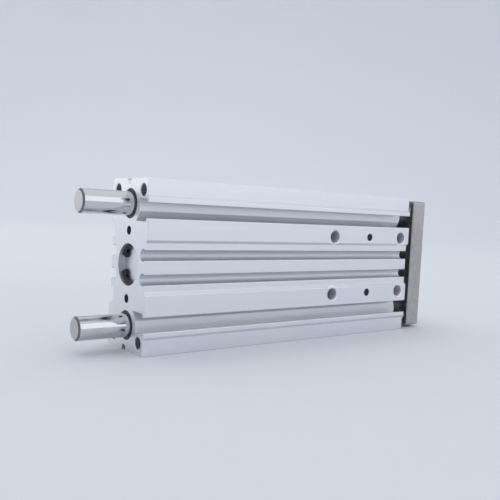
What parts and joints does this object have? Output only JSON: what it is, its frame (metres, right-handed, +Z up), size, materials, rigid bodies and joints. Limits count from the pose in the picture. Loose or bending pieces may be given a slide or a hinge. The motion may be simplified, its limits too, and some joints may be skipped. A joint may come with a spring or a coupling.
{
  "type": "guided pneumatic cylinder",
  "caption": "Compact pneumatic cylinder with twin guide rods: grooved aluminium body, piston rod and guide rods that push a front plate along one straight stroke.",
  "frame": {"origin": "bottom centre of the retracted cylinder's bounding box, on the surface that it stands on", "axes": "+X along the rods towards the front plate, +Z up across the wide faces, -Y out of the T-slot face"},
  "size_m": [0.16, 0.026, 0.058],
  "materials": {
    "anodised_body": "clear anodised, satin",
    "turned_aluminium": "turned",
    "nickel_plate": "satin nickel plate",
    "chromed_rod": "hard chrome, polished",
    "bush_lining": "dark bearing lining on steel",
    "nitrile": "matt",
    "urethane": "satin amber",
    "ring_steel": "black phosphate",
    "magnet": "matt",
    "screw_steel": "black oxide"
  },
  "bodies": {
    "cylinder": {"body": "anodised_body", "head_cover": "turned_aluminium", "head_cover_oring": "nitrile", "head_retaining_ring": "ring_steel", "rear_bumper": "urethane", "rod_collar": "turned_aluminium", "rod_collar_oring": "nitrile", "rod_seal": "nitrile", "collar_retaining_ring": "ring_steel", "front_bumper": "urethane", "rear_bush_upper": "bush_lining", "rear_bush_lower": "bush_lining", "front_bush_upper": "bush_lining", "front_bush_lower": "bush_lining"},
    "slider": {"front_plate": "nickel_plate", "guide_rod_upper": "chromed_rod", "guide_rod_lower": "chromed_rod", "piston_rod": "chromed_rod", "piston": "turned_aluminium", "piston_seal": "nitrile", "magnet_ring": "magnet", "piston_rod_screw": "screw_steel", "guide_rod_screws": "screw_steel"}
  },
  "joints": [
    {"name": "stroke", "type": "slide", "parent": "cylinder", "child": "slider", "axis": [1, 0, 0], "range_m": [0, 0.1]}
  ]
}
